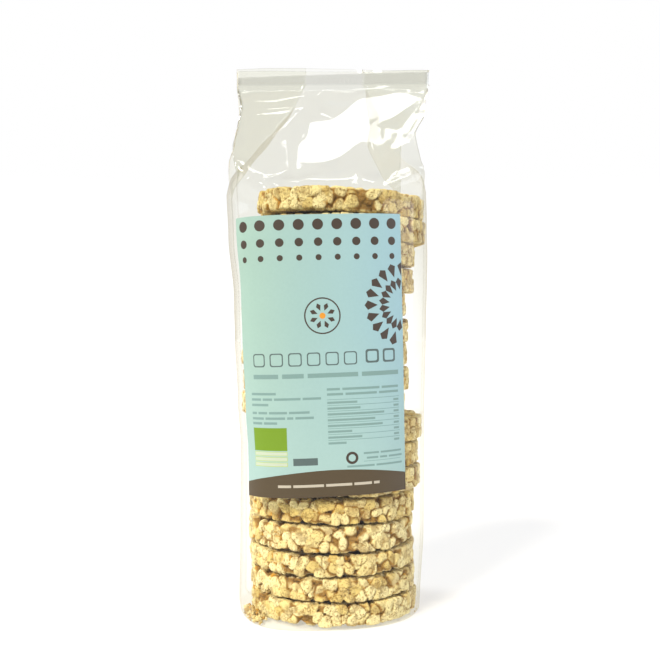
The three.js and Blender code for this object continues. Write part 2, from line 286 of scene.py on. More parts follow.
def label_ground():
    """The label's ground ink: mint at the left turning to pale blue at the right, lighter low down."""
    material = printed_paper("paper_mint_to_blue", "#97B3A6")
    tree = material.node_tree
    place = next(n for n in tree.nodes if n.type == "TEX_COORD").outputs["Object"]
    axes = add(tree, "SeparateXYZ", links={"Vector": place})
    across = add(tree, "MapRange", {"From Min": -0.05, "From Max": 0.03}, {"Value": axes.outputs["X"]})
    upward = add(tree, "MapRange", {"From Min": 0.07, "From Max": 0.15}, {"Value": axes.outputs["Z"]})
    ground = add(tree, "Mix", {6: linear("#93AFA2"), 7: linear("#8FB0B7")}, {0: across}, data_type="RGBA")
    low = add(tree, "Mix", {6: linear("#99B5AF")}, {0: upward, 7: ground.outputs[2]}, data_type="RGBA")
    tinted = next(n for n in tree.nodes if n.type == "VECT_MATH")
    tree.links.new(low.outputs[2], tinted.inputs[0])
    return material


# ---- The cakes ----


def cake_profile(radius, half_thickness, fine_top):
    """The section of a cake's core, from the middle of its underside round its rim to the middle of its top.

    Returns points as (r, z) and the way out at each as (r, z).
    """
    bend = 0.6
    rim_r, rim_z = radius - bend, half_thickness - bend
    step = 0.6
    under_r = np.array([0.01, 14, 28, 34, 36, 37.5])
    near_r = np.arange(38.2, rim_r, step)
    top_r = np.arange(1.2, 38, step * 1.25)[::-1] if fine_top else under_r[::-1]
    bends = [(math.sin(a), math.cos(a)) for a in np.linspace(0, math.pi / 2, 9)[1:-1]]
    wall = np.linspace(-rim_z, rim_z, int(2 * rim_z / step) + 1)
    section = (
        [(r, -half_thickness, 0, -1) for r in under_r]
        + [(r, -half_thickness, 0, -1) for r in near_r]
        + [(rim_r + bend * s, -rim_z - bend * c, s, -c) for s, c in bends]
        + [(radius, z, 1, 0) for z in wall]
        + [(rim_r + bend * c, rim_z + bend * s, c, s) for s, c in bends]
        + [(r, half_thickness, 0, 1) for r in near_r[::-1]]
        + [(r, half_thickness, 0, 1) for r in top_r]
        + ([(0.01, half_thickness, 0, 1)] if fine_top else [])
    )
    section = np.array(section)
    return section[:, :2], section[:, 2:]


def spread_grains(rng, radius, half_thickness, fine_top):
    """Places for puffed grains near a cake's rim, and over its top if that shows, in no order."""
    tries = 6000
    turn = rng.uniform(0, 2 * math.pi, tries)
    out = radius + 0.6 - rng.uniform(0, 1, tries) ** 1.4 * 9
    up = rng.uniform(-half_thickness - 0.8, half_thickness + 0.8, tries)
    if fine_top:
        more = 3600
        turn = np.concatenate([turn, rng.uniform(0, 2 * math.pi, more)])
        out = np.concatenate([out, radius * np.sqrt(rng.uniform(0, 1, more))])
        up = np.concatenate([up, np.full(more, half_thickness)])
    places = np.stack([out * np.cos(turn), out * np.sin(turn), up], 1)
    room = rng.uniform(3.2, 5.6, len(places))
    kept = np.empty((0, 3))
    for place, need in zip(places, room):
        if len(kept) == 0 or ((kept - place) ** 2).sum(1).min() > need * need:
            kept = np.vstack([kept, place])
    return kept


def turned_frames(rng, places):
    """For each grain, three axes of its own: its long one mostly along the rim or upright."""
    count = len(places)
    outward = places * [1, 1, 0]
    outward /= np.linalg.norm(outward, axis=1, keepdims=True) + 1e-6
    along = np.stack([-outward[:, 1], outward[:, 0], np.zeros(count)], 1)
    lies = rng.uniform(0, 1, (count, 1)) < 0.6
    long = np.where(lies, along, [0, 0, 1]) + rng.normal(0, 0.5, (count, 3))
    long /= np.linalg.norm(long, axis=1, keepdims=True)
    side = np.cross(long, outward + rng.normal(0, 0.3, (count, 3)))
    side /= np.linalg.norm(side, axis=1, keepdims=True)
    return np.stack([long, side, np.cross(long, side)], 1)


def puffed_cake(name, seed, slide, tilt, height, thickness, material, fine_top=False):
    """One cake: a core disc, grown outwards to the skins of the puffed grains pressed into it."""
    rng = np.random.default_rng(seed)
    radius = CAKE_RADIUS + rng.uniform(-0.5, 0.3)
    section, outs = cake_profile(radius - CAKE_SKIN, thickness / 2 - CAKE_SKIN, fine_top)
    turns = np.linspace(0, 2 * math.pi, CAKE_COLUMNS, endpoint=False)
    ring = np.stack([np.cos(turns), np.sin(turns)], 1)
    full = (len(section), len(ring), 1)
    core, out = (
        np.concatenate(
            [part[:, None, :1] * ring[None], np.broadcast_to(part[:, None, 1:], full)], 2
        ).reshape(-1, 3)
        for part in (section, outs)
    )
    # Grains are lumpy, not egg-shaped: each point asks a little to one side of where it is
    asked = core + np.stack([1.3 * noise(core, 4.2, seed + 11 + k) for k in range(3)], 1)

    grains = spread_grains(rng, radius - CAKE_SKIN, thickness / 2 - CAKE_SKIN, fine_top)
    count = len(grains)
    frames = turned_frames(rng, grains)
    sizes = np.stack(
        [rng.uniform(3.6, 5.4, count), rng.uniform(2.7, 3.9, count), rng.uniform(3.0, 4.4, count)], 1
    )
    tones = np.clip(rng.uniform(0, 1, count) ** 1.5 + rng.uniform(-0.15, 0.2), 0, 1)
    sunk = rng.uniform(0, 1, count) ** 2 * 1.3
    has_bran = rng.uniform(0, 1, count) < 0.3

    missed = -9.0
    reach = np.full(len(core), missed)
    nearest = np.zeros(len(core), int)
    local = np.zeros(len(core))
    lead = np.zeros(len(core))
    batch, neighbours = 6000, 11
    for start in range(0, len(core), batch):
        part = slice(start, start + batch)
        gaps = ((asked[part, None, :] - grains[None]) ** 2).sum(2)
        near = np.argpartition(gaps, neighbours, axis=1)[:, :neighbours]
        axes = frames[near] / sizes[near][..., None]
        u = np.einsum("nkij,nkj->nki", axes, asked[part, None, :] - grains[near])
        v = np.einsum("nkij,nj->nki", axes, out[part])
        uv, vv, uu = (u * v).sum(2), (v * v).sum(2), (u * u).sum(2)
        inside = uv * uv - vv * (uu - 1)
        hit = np.where(inside > 0, (-uv + np.sqrt(np.maximum(inside, 0))) / vv, missed)
        best = hit.argmax(1)
        rows = np.arange(len(best))
        reach[part] = hit[rows, best]
        nearest[part] = near[rows, best]
        lead[part] = hit[rows, best] - np.partition(hit, -2, axis=1)[:, -2]
        local[part] = (u[rows, best, 0] + reach[part] * v[rows, best, 0]) * 0.6 + u[rows, best, 1] * 0.8

    squared = (np.abs(out[:, 2]) ** 8 + np.linalg.norm(out[:, :2], axis=1) ** 8) ** -0.125
    wall = CAKE_SKIN * squared
    own_wall = wall - sunk[nearest] * np.linalg.norm(out[:, :2], axis=1) - 0.2 * noise(core, 6, seed) - 0.2
    soft = 0.16
    pressed = own_wall - soft * np.log1p(np.exp(np.clip((own_wall - reach) / soft, -30, 30)))
    grown = np.maximum(pressed, -1.2)
    wrinkled = np.exp(-((noise(core, 3.2, seed + 1) / 0.2) ** 2)) * ease(noise(core, 7, seed + 2), -0.3, 0.3)
    joint = np.exp(-((lead / 0.5) ** 2)) * ease(noise(core, 5, seed + 7), -0.5, 0.1)
    rough = 0.28 * noise(core, 1.9, seed + 3) + 0.18 * noise(core, 1, seed + 5)
    rough = rough - 0.5 * wrinkled - 0.75 * joint
    points = core + out * (grown + rough)[:, None]

    # Painted shade: how deep each point lies in a hollow, a gap between grains or a wrinkle groove. The
    # wheat's colour is darkened there.
    depth = (wall - grown - 0.5) / 3.2 - 0.1 * sunk[nearest]
    shade_and_toast = np.clip(depth + 0.16 * wrinkled + 0.42 * joint, 0, 1)
    flake = local + 0.5 * noise(core, 1.7, seed + 4)
    bran = has_bran[nearest] * ease(flake, 0.1, 0.5) * ease(shade_and_toast, 0.05, 0.3)
    lean = math.radians(tilt)
    tipped = np.stack(
        [
            points[:, 0] * math.cos(lean) + points[:, 2] * math.sin(lean),
            points[:, 1],
            -points[:, 0] * math.sin(lean) + points[:, 2] * math.cos(lean),
        ],
        1,
    )
    tipped += [slide, rng.uniform(-0.5, 0.5), height]
    faces = grid_faces(len(section), len(ring), closed=True)
    marks = {"grain_tone": tones[nearest], "shade_and_toast": shade_and_toast, "bran": bran}
    piece = mesh_piece(name, tipped, faces, material, marks)
    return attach(piece, "root")


def stack_of_cakes():
    wheat = puffed_wheat()
    under = CAKE_FOOT
    for i, (slide, tilt, thickness) in enumerate(zip(CAKE_SLIDES, CAKE_TILTS, CAKE_THICKNESSES)):
        on_top = i == len(CAKE_SLIDES) - 1
        middle = under + thickness / 2
        puffed_cake(f"cake_{i + 1:02d}", 100 + 7 * i, slide, tilt, middle, thickness, wheat, fine_top=on_top)
        under += thickness + CAKE_GAP
    return wheat


# ---- The film ----


def sleeve_point(angle, z):
    """The film's outline round the stack. Angle 0 is the right side, and it runs to the back."""
    angle, z = np.broadcast_arrays(np.asarray(angle, float), np.asarray(z, float))
    c, s = np.cos(angle), np.sin(angle)
    reach = np.where(c < 0, keyed(SLEEVE_LEFT, z), keyed(SLEEVE_RIGHT, z))
    power = 2 / np.where(c < 0, keyed(SLEEVE_LEFT, z, 2), keyed(SLEEVE_RIGHT, z, 2))
    return np.stack(
        [reach * np.sign(c) * np.abs(c) ** power, SLEEVE_HALF_DEPTH * np.sign(s) * np.abs(s) ** power], -1
    )


# The line along which the film's front leaves the stack and starts to lean in, as [x, z]
SHOULDER_LINE = [
    [-56, 232], [-50, 230.5], [-44, 228.5], [-38, 225], [-32, 221], [-25, 217.5], [-17, 220], [-8, 223],
    [1, 223.4], [9, 224], [14, 222.5], [19, 221], [24, 224.5], [28, 228], [35, 231], [42, 231], [56, 229],
]
SHOULDER_ROUNDING = 3.6

# The wide facet of the head's front that leans so that the soft box mirrors in it, as (x, z) round its
# edge, and the narrow ones along the creases: (x, z) along each, its width, and how fully it leans so
SHINING_FACET = [
    (-20.5, 234), (-19.7, 242), (-17, 245.2), (-14.4, 246.2), (-12.5, 254.8), (-6.3, 255.5), (0.8, 256.8),
    (7.4, 261.5), (15.3, 268.2), (24.9, 269.5), (36.3, 272.2), (43.8, 271), (45.3, 266.8), (40.3, 263.5),
    (31.6, 258), (21.8, 255), (15.8, 249.2), (10.1, 243.8), (1, 237), (-6.9, 233.8), (-14.6, 233.2),
]
SHINING_CREASES = [
    ([(-51.2, 230.8), (-50.1, 228.8), (-43.5, 227), (-38, 224.5), (-32.4, 221), (-25, 217.2)], 1.5, 1),
    ([(-25, 217.2), (-16.9, 220), (-8, 223), (1.3, 223.2), (7.2, 224.2)], 0.8, 1),
    ([(18.8, 219.5), (23.3, 224.2), (27.9, 227.8), (35.3, 231.2), (41.6, 230.8)], 1.6, 1),
    ([(-48.6, 230.5), (-32.3, 247), (-15.3, 263)], 0.9, 0.9),
    ([(-47.2, 268), (-38.2, 267.2), (-30.5, 266.8), (-16.4, 269.8), (-6.7, 270.8), (1.1, 275.8)], 0.9, 1),
    ([(-46.9, 264.2), (-36.5, 262.2), (-22, 263.2)], 0.8, 0.7),
    ([(-48, 258), (-36.6, 259.5), (-27.2, 260.5), (-15.3, 263)], 0.9, 0.8),
    ([(7.1, 224), (8.6, 229.5)], 0.8, 1),
    ([(20.8, 220.5), (29.6, 224.5), (41.4, 228.2)], 0.9, 0.8),
    ([(29.2, 242), (36.1, 251.2), (45.2, 262.5), (51.5, 273.2)], 0.9, 1),
    ([(29.2, 242), (37.9, 248.2), (47.5, 259.8)], 0.9, 0.8),
    ([(29.2, 242), (35.6, 244.8), (42.3, 247.2)], 0.8, 0.8),
    ([(15.2, 269), (26.6, 272.2), (37.9, 275.5), (52, 276.5)], 0.9, 0.9),
    ([(21.5, 266.8), (37.1, 271), (51.7, 276)], 0.9, 0.8),
    ([(-20.5, 234.5), (-21.9, 225.2)], 1, 0.7),
    ([(-5.9, 259.5), (-2, 257.2)], 1.8, 0.9),
    ([(0.8, 275), (-0.4, 265)], 0.7, 0.6),
    ([(28.2, 252), (26.6, 246.5)], 1.4, 0.9),
    ([(-16.1, 248.2), (-16.9, 246.8)], 1, 0.8),
    ([(18.2, 250), (22.9, 239.8), (26.8, 233.2)], 1, 0.5),
]
# The lean inwards and the turn to the right, as slopes, of film in which the soft box mirrors
SHINING_LEAN = math.tan(math.radians(31.3))
SHINING_TURN = math.tan(math.radians(7))

# Flat facets that the film's back has taken, as corners [x, z, how far out]
BACK_FACETS = [
    [-56, 222, 0], [-20, 222, 0], [20, 222, 0], [56, 222, 0],
    [-56, 277, 0], [-20, 277, 0], [20, 277, 0], [56, 277, 0],
    [-56, 240, 0], [-56, 260, 0], [56, 240, 0], [56, 260, 0],
    [-30, 236, -2], [-6, 246, 2.2], [20, 240, -1.6], [34, 252, 1.6], [-28, 258, 1.8], [4, 264, -1.4],
    [26, 268, 1.2],
]

# Creases in the film's front beside the label and in its back: the crest's points as (x, z), how far it
# stands out, and how wide its flanks are to the left and to the right of the way it runs
FRONT_CREASES = [
    ([(-38, 63), (-34, 52), (-31, 40)], 0.5, 1.6, 1.6),
    ([(-40, 32), (-30, 29.5), (-18, 27)], 0.7, 2, 1.6),
    ([(-40, 60), (-37, 45), (-38, 20)], 0.6, 2, 2),
    ([(36, 62), (38, 40), (37, 12)], 0.6, 2, 2),
    ([(30, 66), (39, 52)], 0.5, 2, 1.6),
]
BACK_CREASES = [
    ([(-46, 236), (-14, 244), (20, 262)], -1.0, 5, 4),
    ([(46, 232), (26, 250), (10, 258)], -0.9, 4, 4),
    ([(-34, 262), (0, 270), (40, 268)], 0.8, 3, 3),
    ([(-30, 206), (-8, 212), (30, 200)], 0.8, 3, 3),
    ([(-36, 120), (-30, 96), (-34, 70)], 0.8, 3, 3),
    ([(34, 150), (30, 128), (36, 108)], 0.8, 3, 3),
    ([(-30, 40), (0, 34), (32, 44)], 0.7, 3, 3),
]


def creased(creases, x, z):
    """How far the creases push a panel outwards: each is a sharp crest that falls away to both sides."""
    total = np.zeros(np.broadcast(x, z).shape)
    for crest, out, left, right in creases:
        best = np.zeros(total.shape)
        for (x0, z0), (x1, z1) in zip(crest, crest[1:]):
            dx, dz = x1 - x0, z1 - z0
            t = np.clip(((x - x0) * dx + (z - z0) * dz) / (dx * dx + dz * dz), 0, 1)
            away = np.hypot(x - x0 - t * dx, z - z0 - t * dz)
            on_left = dx * (z - z0) - dz * (x - x0) > 0
            best = np.maximum(best, 1 - away / np.where(on_left, left, right))
        total = total + out * best
    return total


def faceted(corners, x, z):
    """How far flat facets between the given corners push a panel outwards."""
    flat = [Vector(corner[:2]) for corner in corners]
    coords, _, triangles, _, _, _ = delaunay_2d_cdt(flat, [], [], 0, 1e-5)
    known = {(round(c[0], 2), round(c[1], 2)): c[2] for c in corners}
    outs = [known[round(c.x, 2), round(c.y, 2)] for c in coords]
    x, z = np.broadcast_arrays(np.asarray(x, float), np.asarray(z, float))
    total = np.zeros(x.shape)
    for a, b, c in triangles:
        (ax, az), (bx, bz), (cx, cz) = coords[a], coords[b], coords[c]
        area = (bx - ax) * (cz - az) - (cx - ax) * (bz - az)
        of_b = ((x - ax) * (cz - az) - (cx - ax) * (z - az)) / area
        of_c = ((bx - ax) * (z - az) - (x - ax) * (bz - az)) / area
        inside = (of_b >= 0) & (of_c >= 0) & (of_b + of_c <= 1)
        total = np.where(inside, outs[a] + of_b * (outs[b] - outs[a]) + of_c * (outs[c] - outs[a]), total)
    return total


def head_share(z):
    return np.clip((z - SHOULDER_Z) / (SEAL_BOTTOM_Z - SHOULDER_Z), 0, 1)


def crumpled(x, z, seed):
    """Small sharp-edged facets, as film that has been gathered keeps."""
    at = np.stack(np.broadcast_arrays(x, z), -1)
    return (
        0.3 * (0.5 - np.abs(noise(at, 14, seed)))
        + 0.13 * (0.5 - np.abs(noise(at, 6, seed + 1)))
        + 0.04 * noise(at, 2.6, seed + 2)
    )


def lifted(x, z):
    """Heights in the head, raised to a seal that runs up to the right by 2 degrees, and its top by 1."""
    up_seal = np.clip((z - SEAL_BOTTOM_Z) / 10, 0, 1)
    from_left = x - HEAD_LEFT[-1][1]
    return z + ease(z, 232, SEAL_BOTTOM_Z) * (1.6 + (SEAL_RISE - LIP_FALL * up_seal) * from_left)


def smooth_panel(side, across, z):
    """The film's front (side -1) or back (side 1) before it crumples: x, and how far out it is.

    It runs round the stack to its shoulder, and leans in from there as a flat panel to the seal.
    """
    across, z = np.broadcast_arrays(across, z)
    share = head_share(z)
    left, right = keyed(HEAD_LEFT, share), keyed(HEAD_RIGHT, share)
    head_x = left + (right - left) * (across + 1) / 2
    line = np.interp(head_x, *np.array(SHOULDER_LINE).T) if side < 0 else FLAT_FROM
    above, bend = z - line, SHOULDER_ROUNDING
    above = np.where(np.abs(above) < bend, (above + bend) ** 2 / (4 * bend), np.maximum(above, 0))
    leant = np.clip(above / (FLAT_TO - line), 0, 1)
    corner = CORNER_DEPTH - CORNER_SKEW * across
    head_y = (corner + (SLEEVE_HALF_DEPTH - corner) * (1 - across**2)) * (1 - leant) + 0.5 * leant
    round_ = sleeve_point(side * np.pi / 2 - side * across * CORNER_TURN, np.minimum(z, SHOULDER_Z))
    squared = ease(share, 0, 0.12 + 0.2 * across**2)
    x = round_[..., 0] * (1 - squared) + head_x * squared
    squared = ease(z, 213, 222 + 11 * across**2)
    return x, np.abs(round_[..., 1]) * (1 - squared) + head_y * squared


def marked(x, z):
    """1 where the head's front is to lean so that the soft box mirrors in it, and 0 elsewhere."""
    inside = np.zeros(x.shape, bool)
    for (x0, z0), (x1, z1) in zip(SHINING_FACET, SHINING_FACET[1:] + SHINING_FACET[:1]):
        inside ^= ((z0 > z) != (z1 > z)) & (x < (x1 - x0) * (z - z0) / (z1 - z0) + x0)
    mark = inside.astype(float)
    for _ in range(3):
        wide = np.pad(mark, 1, mode="edge")
        mark = (wide[:-2, 1:-1] + wide[2:, 1:-1] + wide[1:-1, :-2] + wide[1:-1, 2:] + 2 * mark) / 6
    for crest, width, fully in SHINING_CREASES:
        for (x0, z0), (x1, z1) in zip(crest, crest[1:]):
            dx, dz = x1 - x0, z1 - z0
            t = np.clip(((x - x0) * dx + (z - z0) * dz) / (dx * dx + dz * dz), 0, 1)
            away = np.hypot(x - x0 - t * dx, z - z0 - t * dz)
            mark = np.maximum(mark, fully * np.clip(1.3 - away / (width / 2 + 0.15), 0, 1))
    return mark


def settled(start, weight, slope_x, slope_z, held, step):
    """Heights over a grid whose slopes come as near as they can to the given ones.

    Found by conjugate gradients. Held points stay where they start.
    """
    weight_x, weight_z = (weight[:, 1:] + weight[:, :-1]) / 2, (weight[1:] + weight[:-1]) / 2
    stay = 1e-4

    def gathered(along_x, along_z):
        total = np.zeros(weight.shape)
        total[:, 1:] += along_x
        total[:, :-1] -= along_x
        total[1:] += along_z
        total[:-1] -= along_z
        total[held] = 0
        return total / step

    def pull(height):
        rise_x, rise_z = np.diff(height, axis=1) / step, np.diff(height, axis=0) / step
        return gathered(weight_x * rise_x, weight_z * rise_z) + stay * height * ~held

    goal = gathered(
        weight_x * (slope_x[:, 1:] + slope_x[:, :-1]) / 2, weight_z * (slope_z[1:] + slope_z[:-1]) / 2
    )
    ease_by = stay + weight * 4 / step**2
    height = start.copy()
    left = goal - pull(height)
    way = left / ease_by
    size = (left * way).sum()
    for _ in range(400):
        pulled = pull(way)
        stride = size / (way * pulled).sum()
        height += stride * way
        left -= stride * pulled
        eased = left / ease_by
        size, before = (left * eased).sum(), size
        if size < 1e-8 * (goal * goal / ease_by).sum():
            break
        way = eased + size / before * way
    return height


def crumpled_front():
    """The relief of the head's front: where it is, on a grid, and how far out it stands there.

    Film folds into flat facets. Those marked lean towards the soft box. The others are bent clear of that
    lean, so that they stay grey.
    """
    step, rounds = 0.5, 8
    loose, unmarked = 0.02, 0.12
    near_lean, near_turn, bent_clear = 0.115, 0.2, 0.135
    xs, zs = np.arange(-57, 57.1, step), np.arange(208, 277.1, step)
    across = np.linspace(-1.12, 1.12, 300)
    smooth = np.array([np.interp(xs, *smooth_panel(-1, across, z)) for z in zs])
    x, z = np.meshgrid(xs, zs)
    mark = marked(x, z)
    base_z, base_x = np.gradient(smooth, step)
    held = (z >= 276) | (z <= 210)
    weight = loose + mark**2
    slope_x, slope_z = mark * (-base_x - SHINING_TURN), mark * (-base_z - SHINING_LEAN)
    relief = np.zeros(x.shape)
    for _ in range(rounds):
        relief = settled(relief, weight, slope_x, slope_z, held, step)
        up, over = np.gradient(relief, step)
        nearly = np.abs(base_z + up + SHINING_LEAN) < near_lean
        nearly &= np.abs(base_x + over + SHINING_TURN) < near_turn
        nearly &= (mark < unmarked) & (z > 226) & (z < 272)
        loosened = np.where(mark < unmarked, np.maximum(weight * 0.97, loose), weight)
        weight = np.where(nearly, 1, loosened)
        slope_z = np.where(nearly, -SHINING_LEAN - bent_clear - base_z, slope_z)
        slope_x = np.where(nearly, over, slope_x)
    return (xs[0], zs[0], step), relief, mark


def looked_up(corner, grid, x, z):
    """The value of a grid of values at places between its points."""
    left, low, step = corner
    x, z = np.broadcast_arrays(x, z)
    column = np.clip((x - left) / step, 0, grid.shape[1] - 1.001)
    row = np.clip((z - low) / step, 0, grid.shape[0] - 1.001)
    i, j = row.astype(int), column.astype(int)
    u, v = column - j, row - i
    lower = grid[i, j] * (1 - u) + grid[i, j + 1] * u
    upper = grid[i + 1, j] * (1 - u) + grid[i + 1, j + 1] * u
    return lower * (1 - v) + upper * v


def panel_grid(side, across, z, depth, front_relief):
    """Points of the film's front (side -1) or back (side 1), from its left edge (-1) to its right (1)."""
    x, y = smooth_panel(side, across, z)
    share = head_share(z)
    free = np.where(share > 0, 0.35 + 0.65 * ease(share, 0, 0.12), 0.35) * (1 - ease(share, 0.9, 0.97))
    within = np.where(share > 0.2, 1, 1 - np.abs(across) ** 8)
    if side < 0:
        corner, relief, mark = front_relief
        shining = np.clip(2 * looked_up(corner, mark, x, z), 0, 1)
        free = free * (1 - 0.75 * shining) * np.where(share > 0, 0.4, 1)
        folds = creased(FRONT_CREASES, x, z) + looked_up(corner, relief, x, z) * (z > 209)
    else:
        folds = (creased(BACK_CREASES, x, z) + faceted(BACK_FACETS, x, z)) * (1 - ease(share, 0.85, 0.95))
    y = y + (folds + crumpled(x, z, 5 + side) * free) * within - depth
    return np.stack([x, side * y, np.broadcast_to(z, x.shape)], -1)


def film_rings(heights):
    """The film's points round the bag at each height, anticlockwise from above from its front left edge."""
    front_relief = crumpled_front()
    z = heights[:, None]
    share = head_share(z)
    folded = np.maximum(GUSSET_DEPTH * share, 0.4)
    layer = 0.02 + 0.25 * ease(share, 0, 0.1)
    half_width = (keyed(HEAD_RIGHT, share) - keyed(HEAD_LEFT, share)) / 2
    round_ = 1 - ease(share, 0.08, 0.38)
    under = np.minimum(z, SHOULDER_Z)

    def gusset(side, hand):
        steps = np.linspace(0, 1, 15)[1:]
        from_front = panel_grid(side, hand * (1 - folded * steps / half_width), z, layer, front_relief)
        to_back = panel_grid(-side, hand * (1 - folded * steps[::-1] / half_width), z, layer, front_relief)
        t = np.linspace(0, 1, 28)[1:-1]
        start, end = from_front[:, -1:], to_back[:, :1]
        middle = start * (1 - t[:, None]) + end * t[:, None]
        turn = (2 * t - 1) * (np.pi / 2 - CORNER_TURN) * hand
        angle = turn if hand > 0 else np.pi - turn
        bent = sleeve_point(angle[None], under)
        side_turn = np.pi / 2 - CORNER_TURN
        corner = sleeve_point(np.full((1, 1), side_turn if hand > 0 else np.pi - side_turn), under)
        bow = round_ * (np.abs(bent[..., 0]) - np.abs(corner[..., 0]))
        hollow = crumpled(middle[..., 1], np.broadcast_to(z, middle.shape[:2]), 20 + hand)
        middle[..., 0] += hand * (bow + (0.3 + 0.7 * (1 - round_)) * np.sin(np.pi * t) * hollow)
        level = ease(share, 0, 0.1)
        middle[..., 1] = middle[..., 1] * level + bent[..., 1] * (1 - level)
        return [from_front, middle, to_back]

    front = panel_grid(-1, np.linspace(-1, 1, 200)[None], z, 0, front_relief)
    back = panel_grid(1, np.linspace(1, -1, 60)[None], z, 0, front_relief)
    parts = [front] + gusset(-1, 1) + [back] + gusset(1, -1)
    in_fold = [0, 1, 0.4, 1, 0, 1, 0.4, 1]
    fold = np.concatenate([np.full(part.shape[:2], value) for part, value in zip(parts, in_fold)], 1)
    return np.concatenate(parts, 1), fold * ease(share, 0.1, 0.3)


def film_bag():
    """The whole film skin, open only along the top between its two lips."""
    heights = np.concatenate(
        [
            np.arange(BASE_ROUNDING, 74, 1.5),
            np.arange(74, 202, 3.0),
            np.arange(202, 211, 1.5),
            np.arange(211, SEAL_BOTTOM_Z, 0.55),
            np.linspace(SEAL_BOTTOM_Z, LIP_TOP_Z, 20),
        ]
    )
    rings, fold = film_rings(heights)
    x, z = rings[..., 0].copy(), rings[..., 2].copy()
    front = rings[..., 1] < 0
    weld_top = WELD_TOP_Z + 0.045 * (x + 48)
    over_seal = np.clip((z - weld_top) / (LIP_TOP_Z - weld_top), 0, 1)
    outward = np.where(front, -1, 1)
    lower = np.where(front, 2.5 * (1 - ease(x, 20, 50)), 1.4 * (1 - ease(x, -50, -30)))
    rings[..., 1] += over_seal * outward * (0.9 + 0.7 * noise(rings[..., :1], 17, 4))
    rings[..., 2] += over_seal * (0.25 * noise(np.stack([x, outward * 9], -1), 24, 8) - lower)
    rings[..., 2] = lifted(x, rings[..., 2])
    weld = ease(z, SEAL_BOTTOM_Z - 0.4, SEAL_BOTTOM_Z + 0.4) * (1 - ease(z, weld_top - 0.3, weld_top + 0.3))
    weld = weld * (fold < 0.3)
    weld[-1] = np.maximum(weld[-1], 0.8)
    clear = np.maximum(fold, 1 - ease(z, 140, 215))
    clear = np.where(z > weld_top, np.maximum(clear, 0.9), clear)

    foot = rings[0]
    rounding = []
    for angle in np.linspace(0, math.pi / 2, 6)[:-1]:
        ring = foot.copy()
        inset = BASE_ROUNDING * (1 - math.sin(angle))
        ring[:, :2] *= (1 - inset / np.linalg.norm(foot[:, :2], axis=1))[:, None]
        ring[:, 2] = 0.1 + (BASE_ROUNDING - 0.1) * (1 - math.cos(angle))
        rounding.append(ring)
    base = []
    for shrink in np.linspace(0.02, 0.93, 14):
        ring = rounding[0].copy()
        ring[:, :2] *= shrink
        ring[:, 2] = 0.2 + 0.1 * noise(ring[:, :2], 9, 3)
        base.append(ring)
    points = np.concatenate(base + rounding + list(rings))
    columns = len(foot)
    below = (len(base) + len(rounding)) * columns
    weld = np.concatenate([np.zeros(below), weld.ravel()])
    clear = np.concatenate([np.ones(below), clear.ravel()])
    faces = grid_faces(len(points) // columns, columns, closed=True)
    piece = mesh_piece("film", points, faces, clear_film(), {"weld": weld, "clear": clear})
    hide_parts("bag")
    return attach(piece, "root")


# ---- The label ----


def label_skin(u, v):
    """Points of the label's face bent round the sleeve, and the way out at each, from places on it flat."""
    s = LABEL_CENTRE_S + u * math.cos(LABEL_TILT) - v * math.sin(LABEL_TILT)
    z = LABEL_CENTRE_Z + u * math.sin(LABEL_TILT) + v * math.cos(LABEL_TILT)
    levels = np.linspace(z.min() - 1, z.max() + 1, 40)
    paced = np.arange(-64, 64, 0.5)
    angles = np.linspace(-0.95 * math.pi, -0.05 * math.pi, 721)
    sheet = []
    for level in levels:
        arc = sleeve_point(angles, level)
        lengths = np.concatenate([[0], np.cumsum(np.linalg.norm(np.diff(arc, axis=0), axis=1))])
        lengths -= lengths[360]
        sheet.append([np.interp(paced, lengths, arc[:, k]) for k in (0, 1)])
    sheet = np.array(sheet)

    def on_sheet(s, z):
        across, up = (s - paced[0]) / 0.5, (z - levels[0]) / (levels[1] - levels[0])
        i, j = np.floor(up).astype(int), np.floor(across).astype(int)
        fi, fj = up - i, across - j
        corners = itertools.product((0, 1), repeat=2)
        return sum(sheet[i + a, :, j + b].T * np.abs(1 - a - fi) * np.abs(1 - b - fj) for a, b in corners).T

    place = on_sheet(s, z)
    onward = on_sheet(s + 0.6, z) - on_sheet(s - 0.6, z)
    onward /= np.linalg.norm(onward, axis=1, keepdims=True)
    outward = np.stack([onward[:, 1], -onward[:, 0], np.zeros(len(s))], 1)
    return np.concatenate([place, z[:, None]], 1) + outward * LABEL_STANDS_OFF, outward


def bar(u, v, width, height):
    """An upright rectangle, from its left end's middle."""
    low, high = v - height / 2, v + height / 2
    return [(u, low), (u + width, low), (u + width, high), (u, high)]


def capsule(u, v, width, height, along=0):
    """A bar with round corners, moved to the right by along."""
    corner = min(width, height) * 0.2
    outline = []
    for right, up, start in ((1, -1, -90), (1, 1, 0), (-1, 1, 90), (-1, -1, 180)):
        middle_u = u + along + width / 2 + right * (width / 2 - corner)
        middle_v = v + up * (height / 2 - corner)
        for turn in range(start, start + 91, 18):
            a = math.radians(turn)
            outline.append((middle_u + corner * math.cos(a), middle_v + corner * math.sin(a)))
    return outline


def disc(u, v, radius, sides=20):
    turns = [2 * math.pi * k / sides for k in range(sides)]
    return [(u + radius * math.cos(turn), v + radius * math.sin(turn)) for turn in turns]


def petal(u, v, turn, near, far, half_width):
    """A kite that points away from a centre, between two distances from it."""
    corners = [(near, 0), ((near + far) * 0.55, -half_width), (far, 0), ((near + far) * 0.55, half_width)]
    c, s = math.cos(turn), math.sin(turn)
    return [(u + a * c - b * s, v + a * s + b * c) for a, b in corners]


def dashes(u, v, lengths, gap, height):
    """A line of plain dashes, one after the other."""
    line = []
    for length in lengths:
        line.append(bar(u, v, length, height))
        u += length + gap
    return line


